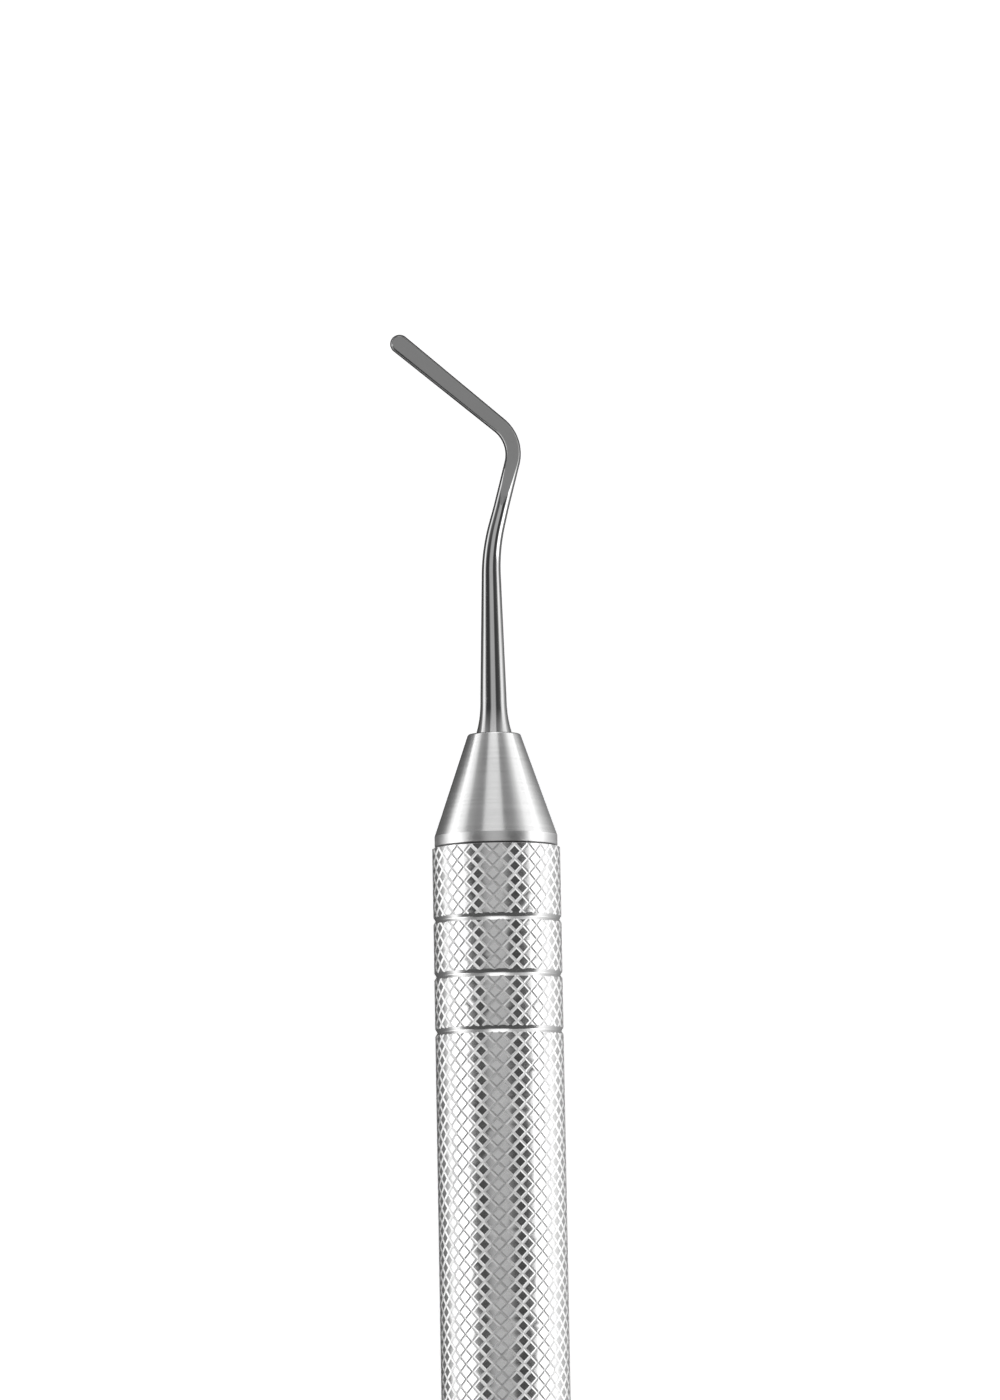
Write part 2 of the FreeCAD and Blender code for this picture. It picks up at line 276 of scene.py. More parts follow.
class Nodes:
    """A small hand for wiring the nodes of a material or a world."""

    def __init__(self, tree: NodeTree) -> None:
        """Clear a node tree, which is then filled."""
        self.tree = tree
        tree.nodes.clear()

    def add(self, kind: str, settings: Optional[dict[str, object]] = None, **inputs: object) -> Node:
        """Add a node, set it up and feed its inputs.

        Args:
            kind: The node's type, without the ShaderNode prefix.
            settings: Properties of the node itself.
            **inputs: Values or output sockets by input name, with _ for a space, or i0, i1 by number.

        Returns:
            The node.
        """
        node = self.tree.nodes.new("ShaderNode" + kind)
        for name, value in (settings or {}).items():
            setattr(node, name, value)
        for name, value in inputs.items():
            numbered = name[0] == "i" and name[1:].isdigit()
            socket = node.inputs[int(name[1:])] if numbered else node.inputs[name.replace("_", " ")]
            if isinstance(value, NodeSocket):
                self.tree.links.new(value, socket)
            else:
                socket.default_value = value
        return node

    def math(self, operation: str, first: object, second: object = 0.0,
             third: object = 0.0) -> NodeSocket:
        """Add a math node on numbers or sockets and return its result's socket."""
        return self.add("Math", {"operation": operation}, i0=first, i1=second, i2=third).outputs[0]

    def noise(self, vector: NodeSocket, scale: float, detail: float = 3.0,
              roughness: float = 0.5) -> NodeSocket:
        """Return the value of a noise on coordinates in millimetres, with features per millimetre."""
        return self.add("TexNoise", Vector=vector, Scale=scale, Detail=detail,
                        Roughness=roughness).outputs["Fac"]

    def spread(self, value: NodeSocket, change: Change) -> NodeSocket:
        """Map a value from one range to another, held at the ends."""
        low, high, new_low, new_high = change
        return self.add("MapRange", {"clamp": True}, Value=value, From_Min=low, From_Max=high,
                        To_Min=new_low, To_Max=new_high).outputs["Result"]

    def grey(self, value: NodeSocket) -> NodeSocket:
        """Return a neutral colour of this value."""
        return self.add("CombineColor", Red=value, Green=value, Blue=value).outputs[0]

    def blend(self, share: NodeSocket, first: object, second: object) -> NodeSocket:
        """Return a colour that goes from the first to the second as the share goes from 0 to 1."""
        return self.add("Mix", {"data_type": "RGBA"}, i0=share, i6=first, i7=second).outputs[2]

    def ramp(self, value: NodeSocket, stops: Stops, scale: float) -> NodeSocket:
        """Add a ramp of greys and return its colour.

        Args:
            value: What the ramp reads, where 0.5 stands for place zero.
            stops: Place and brightness of each stop, in rising order.
            scale: Part of the ramp for one unit of place.

        Returns:
            The colour's socket.
        """
        node = self.add("ValToRGB", Fac=value)
        elements = node.color_ramp.elements
        while len(elements) > 1:
            elements.remove(elements[0])
        for index, (place, brightness) in enumerate(stops):
            position = 0.5 + place * scale
            element = elements[0] if index == 0 else elements.new(position)
            element.position = position
            element.color = (brightness, brightness, brightness, 1)
        return node.outputs[0]


def new_material(name: str) -> tuple[Material, Nodes]:
    """Make a material that is built from nodes.

    Args:
        name: The material's name.

    Returns:
        The material and its empty node tree.
    """
    material = bpy.data.materials.new(name)
    material.use_nodes = True
    return material, Nodes(material.node_tree)


GRAIN_PER_MM = 9.0
CLOUDS_PER_MM = 0.45
NOISE_SPAN: Pair = (0.3, 0.7)  # where nearly all of a noise's values lie
MARKS_TONE: Change = (*NOISE_SPAN, 0.955, 1.03)
GRAIN_TONE: Change = (*NOISE_SPAN, 0.97, 1.02)
CLOUDS_TONE: Change = (*NOISE_SPAN, 0.975, 1.02)
MOTTLED: Change = (0.35, 0.65, 0.86, 1.16)  # patches of finer and coarser polish


@dataclass(frozen=True)
class Fade:
    """A finish that changes along the instrument, the same way towards both ends.

    Attributes:
        start: Where it starts to change, along X in millimetres.
        stop: Where it has changed.
        brightness: Reflectance from there on.
        roughness: Roughness from there on.
    """

    start: float
    stop: float
    brightness: float
    roughness: float


@dataclass(frozen=True)
class SteelFinish:
    """A bare steel surface with grain, machining marks and small differences in polish.

    Attributes:
        name: The material's name.
        brightness: Middle reflectance.
        roughness: Middle roughness.
        marks_per_mm: Machining lines per millimetre.
        marks_stretch: How the grain's coordinates are squeezed along X, Y and Z, which draws the
            marks out in the directions that are squeezed most.
        marks_height: Height of the marks, in millimetres.
        grain_height: Height of the fine grain, in millimetres.
        turn: Turn of the marks about Z, in degrees.
        fade: Change of the finish towards the tips, if there is one.
    """

    name: str
    brightness: float
    roughness: float
    marks_per_mm: float
    marks_stretch: Point
    marks_height: float
    grain_height: float = 0.0005
    turn: float = 0.0
    fade: Optional[Fade] = None

    def material(self) -> Material:
        """Build the material.

        Returns:
            The node-based material.
        """
        material, nodes = new_material(self.name)
        place = nodes.add("TexCoord").outputs["Object"]
        scaled = nodes.add("VectorMath", {"operation": "SCALE"}, i0=place,
                           Scale=1 / MILLIMETRE).outputs[0]
        turned = nodes.add("Mapping", Vector=scaled, Rotation=(0, 0, math.radians(self.turn))).outputs[0]
        drawn = nodes.add("Mapping", Vector=turned, Scale=self.marks_stretch).outputs[0]
        marks = nodes.noise(drawn, self.marks_per_mm, detail=4.0, roughness=0.6)
        grain = nodes.noise(scaled, GRAIN_PER_MM, detail=4.0, roughness=0.65)
        clouds = nodes.noise(scaled, CLOUDS_PER_MM)
        tone = nodes.spread(marks, MARKS_TONE)
        tone = nodes.math("MULTIPLY", tone, nodes.spread(grain, GRAIN_TONE))
        tone = nodes.math("MULTIPLY", tone, nodes.spread(clouds, CLOUDS_TONE))
        brightness, roughness = self.brightness, self.roughness
        if self.fade:
            along = nodes.math("ABSOLUTE", nodes.add("SeparateXYZ", Vector=scaled).outputs["X"])
            span = self.fade.start, self.fade.stop
            brightness = nodes.spread(along, (*span, brightness, self.fade.brightness))
            roughness = nodes.spread(along, (*span, roughness, self.fade.roughness))
        tone = nodes.math("MULTIPLY", tone, brightness)
        mottle = nodes.math("MULTIPLY", marks, 0.5)
        mottle = nodes.math("ADD", mottle, nodes.math("MULTIPLY", clouds, 0.5))
        rough = nodes.math("MULTIPLY", nodes.spread(mottle, MOTTLED), roughness)
        lines = nodes.add("Bump", Distance=self.marks_height * MILLIMETRE, Height=marks).outputs[0]
        surface = nodes.add("Bump", Distance=self.grain_height * MILLIMETRE, Height=grain,
                            Normal=lines).outputs[0]
        steel = nodes.add("BsdfPrincipled", Base_Color=nodes.grey(tone), Metallic=1.0,
                          Roughness=rough, Normal=surface)
        nodes.add("OutputMaterial", Surface=steel.outputs[0])
        return material


@dataclass(frozen=True)
class RubberFinish:
    """Black seal rubber with a faint bloom.

    Attributes:
        name: The material's name.
        brightness: Middle reflectance.
        roughness: Middle roughness.
    """

    name: str = "seal rubber"
    brightness: float = 0.03
    roughness: float = 0.7

    def material(self) -> Material:
        """Build the material.

        Returns:
            The node-based material.
        """
        material, nodes = new_material(self.name)
        place = nodes.add("TexCoord").outputs["Object"]
        grain = nodes.noise(place, 3 / MILLIMETRE)
        tone = nodes.spread(grain, (*NOISE_SPAN, self.brightness * 0.8, self.brightness * 1.4))
        rough = nodes.spread(grain, (*NOISE_SPAN, self.roughness * 0.9, self.roughness * 1.1))
        bump = nodes.add("Bump", Strength=0.4, Distance=0.01 * MILLIMETRE, Height=grain).outputs[0]
        rubber = nodes.add("BsdfPrincipled", Base_Color=nodes.grey(tone), Roughness=rough, Normal=bump)
        nodes.add("OutputMaterial", Surface=rubber.outputs[0])
        return material


AROUND_X: Point = (1.0, 0.02, 0.02)
ALONG_X: Point = (0.03, 1.0, 1.0)

KNURLED_STEEL = SteelFinish("knurled steel", 0.76, 0.21, 6.0, AROUND_X, 0.0008)
# Knurl grooves: rougher from the knurling press; their brightness above the knurled steel is a painted
# highlight, the light that the grooves catch.
PRESSED_SHEEN_STEEL = SteelFinish("pressed groove steel", 0.95, 0.36, 6.0, AROUND_X, 0.001)
GROOVE_STEEL = SteelFinish("turned groove steel", 0.76, 0.2, 9.0, AROUND_X, 0.001)
CONE_STEEL = SteelFinish("turned cone steel", 0.77, 0.19, 5.0, AROUND_X, 0.0016)
LAND_STEEL = SteelFinish("rubbed land steel", 0.74, 0.34, 2.2, (1.0, 0.3, 0.3), 0.004)
BUSH_STEEL = SteelFinish("turned bush steel", 0.6, 0.3, 4.0, AROUND_X, 0.002)
SHANK_STEEL = SteelFinish("polished shank steel", 0.57, 0.09, 7.0, ALONG_X, 0.0006, grain_height=0.0002,
                          fade=Fade(start=79.0, stop=82.0, brightness=0.22, roughness=0.24))
BLADE_STEEL = SteelFinish("ground blade steel", 0.36, 0.36, 8.0, ALONG_X, 0.0003, grain_height=0.0003,
                          turn=-49.5)


# ---- Handle ----


@dataclass(frozen=True)
class BandEdge:
    """One end of a knurled band: a cone that cuts the knurl and runs down to the groove floor.

    Attributes:
        top: Where the cone meets the full diameter, along X.
        floor: Where it meets the groove floor, along X.
    """

    top: float
    floor: float


@dataclass
class Handle:
    """The knurled tube: a turned core with ring grooves, and the knurled bands between them.

    Attributes:
        half_length: Middle of the handle to the tube's end.
        radius: Radius over the knurl.
        bore_radius: Radius of the tube's bore.
        groove_depth: Depth of the ring grooves, and of the edge at the tube's end.
        groove_first: Tube end to the centre of the first groove.
        groove_pitch: From one groove to the next.
        grooves: Number of grooves at each end.
        groove_mouth: Width of a groove's mouth.
        groove_flanks: Width of a groove's flank towards the middle of the handle and towards its end.
        end_edge: Length of the turned edge at the tube's end.
        starts: Number of knurl teeth round the handle.
        pitch: From one knurl tooth to the next, along the axis.
        tooth_slopes: Width and height of each facet of a tooth's flank, from the groove up to the top.
        unevenness: How far the knurl's corners stray from their places.
        under_skin: How far a band reaches below the groove floor, inside the core.
        seam_gap: Distance within which the two borders of a bent band become one.
    """

    half_length: float
    radius: float
    bore_radius: float
    groove_depth: float = 0.16
    groove_first: float = 5.7
    groove_pitch: float = 4.35
    grooves: int = 3
    groove_mouth: float = 0.58
    groove_flanks: Pair = (0.26, 0.28)
    end_edge: float = 0.07
    starts: int = 27
    pitch: float = 1.14
    tooth_slopes: Stops = ((0.05, 0.017), (0.065, 0.025), (0.015, 0.003))
    unevenness: float = 0.0035
    under_skin: float = 0.25
    seam_gap: float = 0.0005

    def build(self) -> None:
        """Build the core and every band, and dress them."""
        turned = GROOVE_STEEL.material()
        knurled = Dress(Slot.KNURLED, [KNURLED_STEEL.material(), PRESSED_SHEEN_STEEL.material(), turned], 8)
        Dress(Slot.KNURLED, [turned], 30).finish(self.make_core(), "handle_tube")
        mouth = self.groove_mouth / 2
        inward, outward = self.groove_flanks
        outer = BandEdge(self.half_length - self.end_edge, self.half_length)
        for place in range(self.grooves):
            centre = self.half_length - self.groove_first - self.groove_pitch * place
            inner = BandEdge(centre + mouth, centre + mouth - outward)
            knurled.finish_pair(self.make_band(f"knurled_band_{place + 1}_a", inner, outer))
            outer = BandEdge(centre - mouth, centre - mouth + inward)
        middle = self.make_band("knurled_band_middle", BandEdge(-outer.top, -outer.floor), outer)
        knurled.finish(middle)

    def make_core(self) -> Object:
        """Turn the tube's core, up to the floor of the ring grooves, and open its bore.

        Returns:
            The core, in millimetres.
        """
        end, outside, inside = self.half_length, self.radius - self.groove_depth, self.bore_radius
        outline = [(-end, outside), (end, outside), (end, inside), (-end, inside)]
        core = turned_piece("handle_core", outline, segments=160)
        bpy.ops.object.mode_set(mode="EDIT")
        select_where("FACE", lambda face: len(face.verts) > 4)  # the two end disks
        bpy.ops.mesh.delete(type="ONLY_FACE")
        select_where("EDGE", lambda edge: edge.is_boundary)
        bpy.ops.mesh.bridge_edge_loops()
        end_shape()
        return core

    def make_band(self, name: str, left: BandEdge, right: BandEdge) -> Object:
        """Model one knurled band: flat at first, then bent round the handle.

        The flat sheet lies in the XZ plane with the outside facing -Y, so depth is counted along +Y.
        It starts with spare teeth all round, which the cuts take off again.

        Args:
            name: The band's name.
            left: The band's edge towards -X.
            right: The band's edge towards +X.

        Returns:
            The band, a closed ring, in millimetres.
        """
        girth = 2 * math.pi * self.radius
        step = girth / self.starts
        first = math.floor(min(left.top, left.floor) / self.pitch) - 1
        last = math.ceil(max(right.top, right.floor) / self.pitch) + 1
        depth = sum(height for _, height in self.tooth_slopes)
        bpy.ops.mesh.primitive_grid_add(x_subdivisions=last - first, y_subdivisions=self.starts + 2,
                                        size=1, rotation=(math.pi / 2, 0, 0))
        band = begin_shape(name)
        bpy.ops.transform.resize(value=((last - first) * self.pitch, 1, (self.starts + 2) * step),
                                 center_override=(0, 0, 0))
        bpy.ops.transform.translate(value=((last + first) / 2 * self.pitch, depth, 0))
        self.raise_teeth()
        seam = girth / 2
        self.cut((0, 0, seam + step / 4), (0, 0, 1))
        self.cut((0, 0, -seam + step / 4), (0, 0, -1))
        walls = ((left, -1), (right, 1))
        for edge, side in walls:
            self.cut((edge.top, 0, 0), (side * self.groove_depth, -abs(edge.floor - edge.top), 0))
            self.close_edge(edge, side)
        if not select_where("VERT", lambda vertex: not vertex.is_boundary and not any(
                self.on_wall(vertex.co, edge, side) for edge, side in walls)):
            raise RuntimeError("no knurl to roughen")
        bpy.ops.transform.vertex_random(offset=self.unevenness, seed=5)
        bpy.ops.object.mode_set(mode="OBJECT")
        for face in band.data.polygons:
            corners = [band.data.vertices[index].co for index in face.vertices]
            if any(all(self.on_wall(corner, *wall) for corner in corners) for wall in walls):
                face.material_index = 2
        apply_modifier(band, "SIMPLE_DEFORM", deform_method="BEND", deform_axis="X", angle=2 * math.pi)
        bpy.ops.object.mode_set(mode="EDIT")
        bpy.ops.mesh.select_all(action="SELECT")
        bpy.ops.transform.translate(value=(0, -self.radius, 0))
        bpy.ops.mesh.remove_doubles(threshold=self.seam_gap)
        select_where("EDGE", lambda edge: edge.is_boundary)
        bpy.ops.mesh.bridge_edge_loops()
        end_shape()
        return band

    def raise_teeth(self) -> None:
        """Turn the selected grid into a lattice of diamonds and raise each into a flat-topped tooth."""
        bpy.ops.mesh.mark_seam(clear=False)
        bpy.ops.mesh.poke()
        select_where("EDGE", lambda edge: edge.seam and not edge.is_boundary)
        bpy.ops.mesh.dissolve_edges(use_verts=False)
        bpy.ops.mesh.select_all(action="SELECT")
        bpy.ops.mesh.mark_seam(clear=True)
        bpy.ops.mesh.select_mode(type="FACE")
        bpy.ops.mesh.select_all(action="SELECT")
        piece = bpy.context.edit_object
        for _ in range(3):  # tops, grooves between the teeth, and end walls
            piece.data.materials.append(None)
        piece.active_material_index = 1
        bpy.ops.object.material_slot_assign()
        for width, height in self.tooth_slopes:
            bpy.ops.mesh.inset(thickness=width, depth=height, use_individual=True)
        piece.active_material_index = 0
        bpy.ops.object.material_slot_assign()
        bpy.ops.mesh.poke()

    @staticmethod
    def cut(place: Point, outward: Point) -> None:
        """Cut the sheet with the plane at this place and drop what lies on its outward side."""
        bpy.ops.mesh.select_all(action="SELECT")
        bpy.ops.mesh.bisect(plane_co=place, plane_no=outward, clear_outer=True, threshold=TIGHT)

    def close_edge(self, edge: BandEdge, side: int) -> None:
        """Carry a band's cut edge down to the groove floor and on into the core.

        Args:
            edge: The band's edge.
            side: -1 for the edge towards -X, 1 for the other.
        """
        if not select_where("EDGE", lambda item: item.is_boundary and all(
                self.on_wall(vertex.co, edge, side) for vertex in item.verts)):
            raise RuntimeError(f"no edge to close on side {side}")
        for depth in (self.groove_depth, self.groove_depth + self.under_skin):
            bpy.ops.mesh.extrude_edges_move()
            bpy.ops.transform.resize(value=(0, 0, 1), center_override=(edge.floor, depth, 0))

    def on_wall(self, place: Vector, edge: BandEdge, side: int) -> bool:
        """Tell whether a point of the flat band lies on the wall at its left (-1) or right (1) edge."""
        slope = (edge.floor - edge.top) / self.groove_depth
        return side * (place.x - edge.top - slope * min(place.y, self.groove_depth)) > -10 * TIGHT


# ---- Nose cones ----


@dataclass
class NoseCone:
    """A turned cone that screws into the handle and holds a working end.

    Attributes:
        tube_end: The tube's end along X, where the lip sits.
        face: The cone's front face along X.
        stem_end: The threaded stem's end along X.
        lip_radius: Radius of the lip.
        lip_length: Length of the lip.
        face_radius: Radius of the front face.
        face_edge: Radius of the front face's rounded edge.
        edge_steps: Number of straight pieces in that edge.
        seam: Height and length of the lip's broken edge at the tube.
        pilot_radius: Radius of the pilot behind the lip.
        pilot_length: Length of the pilot.
        seal_floor: Radius at the floor of the seal groove.
        seal_inset: Tube end to the seal groove.
        seal_width: Width of the seal groove.
        stem_radius: Radius of the threaded stem.
        stem_chamfer: Chamfer at its end.
        tang_radius: Radius of the bore for the tang.
        tang_depth: Depth of that bore.
    """

    tube_end: float
    face: float
    stem_end: float
    lip_radius: float
    lip_length: float = 0.9
    face_radius: float = 2.05
    face_edge: float = 0.18
    edge_steps: int = 6
    seam: Pair = (0.1, 0.14)
    pilot_radius: float = 3.25
    pilot_length: float = 2.8
    seal_floor: float = 2.45
    seal_inset: float = 0.7
    seal_width: float = 1.2
    stem_radius: float = 2.5
    stem_chamfer: float = 0.4
    tang_radius: float = 1.2
    tang_depth: float = 10.0

    def outline(self) -> list[Pair]:
        """Lay out the cone from the stem's end, over the outside, to the bottom of the tang's bore.

        Returns:
            Distance along X and radius of each corner.
        """
        tube, lip, pilot, stem = self.tube_end, self.lip_radius, self.pilot_radius, self.stem_radius
        seal_near = tube - self.seal_inset
        seal_far = seal_near - self.seal_width
        pilot_end = tube - self.pilot_length
        cone_start = tube + self.lip_length
        slant = math.atan2(self.face - cone_start, lip - self.face_radius)
        centre = self.face_radius - self.face_edge * math.tan(slant / 2)
        rounded = []
        for index in range(self.edge_steps, -1, -1):
            angle = slant * index / self.edge_steps
            rounded.append((self.face - self.face_edge + self.face_edge * math.cos(angle),
                            centre + self.face_edge * math.sin(angle)))
        return [
            (self.stem_end, stem - self.stem_chamfer),
            (self.stem_end + self.stem_chamfer, stem),
            (pilot_end, stem),
            (pilot_end, pilot),
            (seal_far, pilot),
            (seal_far, self.seal_floor),
            (seal_near, self.seal_floor),
            (seal_near, pilot),
            (tube, pilot),
            (tube, lip - self.seam[0]),
            (tube + self.seam[1], lip),
            (cone_start, lip),
            *rounded,
            (self.face, self.tang_radius),
            (self.face - self.tang_depth, self.tang_radius),
        ]

    def build(self) -> None:
        """Build the cone of each end and dress it."""
        steels = Dress(Slot.TURNED, [CONE_STEEL.material(), LAND_STEEL.material()], 12)
        cone = turned_piece("turned_cone_a", self.outline(), segments=192)
        for face in cone.data.polygons:
            on_land = self.tube_end < face.center.x < self.tube_end + self.lip_length
            face.material_index = int(on_land and face.center.yz.length > self.pilot_radius)
        steels.finish_pair(cone, "nose_cone_")


# ---- Working ends ----


def between(value: float, table: Sequence[Pair]) -> float:
    """Read a table of rising values and their results, with straight lines between its rows.

    Args:
        value: Where to read.
        table: The rows.

    Returns:
        The result, held at both ends.
    """
    for (start, first), (stop, last) in zip(table, table[1:]):
        if value <= stop:
            return first + (last - first) * max(0.0, value - start) / (stop - start)
    return table[-1][1]


@dataclass
class WorkingEnd:
    """A tapered round shank with two bends and a narrow blade that is ground flat on both sides.

    Attributes:
        face: The nose cone's front face along X.
        tang_start: The tang's end along X.
        tang_radius: Radius of the tang.
        root_diameter: Shank on the cone's face.
        flare_length: Length of the concave flare.
        flare_diameter: Shank at the end of the flare.
        bend_diameter: Shank at the start of the first bend.
        neck_diameter: Neck between the bends.
        first_corner: Front face to the corner of the first bend.
        first_angle: Turn of the first bend, to the right, in degrees.
        first_radius: Radius of the first bend.
        neck_start: First corner to the start of the neck and of the flats.
        neck_length: First corner to the second.
        second_angle: Turn of the second bend, to the left, in degrees.
        second_radius: Radius of the second bend.
        blade_length: Second corner to the centre of the round tip.
        blade_root_width: Blade just past the second bend.
        blade_tip_width: Blade at its tip.
        knee: Second corner to where the flats turn nearly parallel, along X.
        knee_thickness: Between the flats at the knee.
        blade_thickness: Between the flats at the tip.
        blade_root_depth: Height of the oval blank, before grinding, just past the second bend.
        blade_tip_depth: Height of the oval blank at the tip.
        flare_power: How soon the flare runs out along the shank.
        lead_in: Slope of the flats where the grinding block comes down to them.
        hollow: How deep the flats dip between the neck and the knee.
        hollow_steps: Straight pieces in that dip.
        block: Width and thickness of the grinding block.
        level: Least vertical share of the direction of a face that belongs to a flat.
        step: Distance between the rings of the shank, halved in a sharp bend.
        sharp_bend: Curvature, per millimetre, from which a bend is sharp.
        tip_rings: Number of rings in the round tip.
        tip_end: Last ring's angle on the tip, in degrees.
        segments: Number of flats round the shank.
    """

    face: float
    tang_start: float
    tang_radius: float = 1.2
    root_diameter: float = 2.85
    flare_length: float = 2.8
    flare_diameter: float = 2.05
    bend_diameter: float = 1.5
    neck_diameter: float = 1.2
    first_corner: float = 14.6
    first_angle: float = 14.7
    first_radius: float = 15.5
    neck_start: float = 3.4
    neck_length: float = 8.95
    second_angle: float = 64.2
    second_radius: float = 3.0
    blade_length: float = 12.064
    blade_root_width: float = 1.29
    blade_tip_width: float = 1.5
    knee: float = 0.34
    knee_thickness: float = 0.72
    blade_thickness: float = 0.58
    blade_root_depth: float = 1.05
    blade_tip_depth: float = 0.88
    flare_power: float = 2.2
    lead_in: float = 0.35
    hollow: float = 0.05
    hollow_steps: int = 13
    block: Pair = (60.0, 3.0)
    level: float = 0.965
    step: float = 0.25
    sharp_bend: float = 0.2
    tip_rings: int = 12
    tip_end: float = 86.4
    segments: int = 64

    def build(self) -> None:
        """Build the working end of each end of the instrument and dress it."""
        steels = Dress(Slot.POLISHED, [SHANK_STEEL.material(), BLADE_STEEL.material()], 24)
        blank = self.make_blank()
        self.grind_flats(blank)
        steels.finish_pair(blank, "working_end_")

    @staticmethod
    def setback(angle: float, radius: float) -> float:
        """Return the distance from a bend's corner to either end of its arc."""
        return radius * math.tan(math.radians(angle) / 2)

    def spans(self) -> list[Pair]:
        """Lay out the centreline.

        Returns:
            Length and curvature of each stretch, left turns positive.
        """
        first = self.setback(self.first_angle, self.first_radius)
        second = self.setback(self.second_angle, self.second_radius)
        return [
            (self.first_corner - first, 0.0),
            (math.radians(self.first_angle) * self.first_radius, -1 / self.first_radius),
            (self.neck_length - first - second, 0.0),
            (math.radians(self.second_angle) * self.second_radius, 1 / self.second_radius),
            (self.blade_length - second, 0.0),
        ]

    def size(self, distance: float) -> Pair:
        """Find the blank's size at a place along its centreline.

        Args:
            distance: Distance from the cone's face.

        Returns:
            Half width, in the plane of the bends, and half height.
        """
        bend_start, _, second_start, second_end, tip = accumulate(length for length, _ in self.spans())
        if distance < self.flare_length:
            rise = self.root_diameter - self.flare_diameter
            width = self.flare_diameter + rise * (1 - distance / self.flare_length) ** self.flare_power
        else:
            width = between(distance, [
                (self.flare_length, self.flare_diameter),
                (bend_start, self.bend_diameter),
                (self.first_corner + self.neck_start, self.neck_diameter),
                (second_start, self.neck_diameter),
                (second_end, self.blade_root_width),
                (tip, self.blade_tip_width),
            ])
        if distance <= second_start:
            return width / 2, width / 2
        height = between(distance, [
            (second_start, self.neck_diameter),
            (second_end, self.blade_root_depth),
            (tip, self.blade_tip_depth),
        ])
        return width / 2, height / 2

    def make_blank(self) -> Object:
        """Model the round blank: a circle extruded from the tang's end to the round tip.

        Returns:
            The blank, in millimetres.
        """
        root = self.root_diameter / 2
        outline = [(self.tang_start, self.tang_radius), (self.face, self.tang_radius), (self.face, root)]
        blank = turned_piece("bent_blade_a", outline, self.segments)
        bpy.ops.object.mode_set(mode="EDIT")
        select_where("VERT", lambda vertex: vertex.co.x > self.face - TIGHT
                     and vertex.co.yz.length > root - TIGHT)
        place, heading, travelled = Vector((self.face, 0, 0)), 0.0, 0.0
        size = (root, root)
        for length, curvature in self.spans():
            step = self.step if abs(curvature) < self.sharp_bend else self.step / 2
            count = max(1, math.ceil(length / step))
            for _ in range(count):
                advance = length / count
                turn = curvature * advance
                chord = Vector((math.cos(heading + turn / 2), math.sin(heading + turn / 2), 0)) * advance
                place = place + chord
                travelled += advance
                heading += turn
                size = self.next_ring(place, chord, turn, size, self.size(travelled))
        self.round_tip(place, heading, size)
        end_shape()
        return blank

    @staticmethod
    def next_ring(place: Vector, chord: Vector, turn: float, size: Pair, new_size: Pair) -> Pair:
        """Extrude the selected end to its next place.

        Args:
            place: The new ring's centre.
            chord: The way from the last ring's centre.
            turn: Turn about Z, in radians.
            size: The last ring's half width and half height.
            new_size: The new ring's half width and half height.

        Returns:
            The new ring's half width and half height.
        """
        extrude(chord)
        if turn:
            # With no window the operator turns the other way round.
            bpy.ops.transform.rotate(value=-turn, orient_axis="Z", orient_type="GLOBAL",
                                     center_override=place)
        wide, high = new_size[0] / size[0], new_size[1] / size[1]
        bpy.ops.transform.resize(value=(wide, wide, high), center_override=place)
        return new_size

    def round_tip(self, place: Vector, heading: float, size: Pair) -> None:
        """Close the blank with half of a flattened ball.

        Args:
            place: Centre of the tip.
            heading: Direction of the blade, in radians.
            size: The last ring's half width and half height.
        """
        forward = Vector((math.cos(heading), math.sin(heading), 0))
        radius, rise = size
        reached = 0.0
        for index in range(1, self.tip_rings + 1):
            angle = math.radians(self.tip_end * index / self.tip_rings)
            ahead = radius * math.sin(angle)
            size = self.next_ring(place + forward * ahead, forward * (ahead - reached), 0.0, size,
                                  (radius * math.cos(angle), rise * math.cos(angle)))
            reached = ahead

    def flats_outline(self) -> list[Pair]:
        """Lay out the upper flat, seen from the side.

        Returns:
            Distance along X and height of each corner.
        """
        first = self.face + self.first_corner
        second = first + self.neck_length * math.cos(math.radians(self.first_angle))
        blade = math.radians(self.second_angle - self.first_angle)
        tip = second + self.blade_length * math.cos(blade) + self.blade_tip_width / 2
        start = first + self.neck_start
        knee = second + self.knee
        rise = self.neck_diameter / 2
        knee_height = self.knee_thickness / 2
        dip = []
        for index in range(1, self.hollow_steps):
            share = index / self.hollow_steps
            straight = rise + (knee_height - rise) * share
            height = straight - self.hollow * math.sin(math.pi * share)
            dip.append((start + (knee - start) * share, height))
        past_tip = tip + 1.0
        return [(start - rise, rise + rise * self.lead_in), (start, rise), *dip, (knee, knee_height),
                (past_tip, self.blade_thickness / 2)]

    def grind_flats(self, blank: Object) -> None:
        """Cut the two flats out of the blank and give their faces the second material.

        Args:
            blank: The round blank.
        """
        for side in (1, -1):
            block = self.make_block(side)
            apply_modifier(blank, "BOOLEAN", operation="DIFFERENCE", object=block, solver="EXACT",
                           material_mode="TRANSFER")
            bpy.data.objects.remove(block)
        for face in blank.data.polygons:
            face.material_index = int(abs(face.normal.z) > self.level and self.on_flat(face.center))

    def on_flat(self, place: Vector) -> bool:
        """Tell whether a point lies on one of the ground flats."""
        outline = self.flats_outline()
        return place.x >= outline[0][0] and abs(abs(place.z) - between(place.x, outline)) < 200 * TIGHT

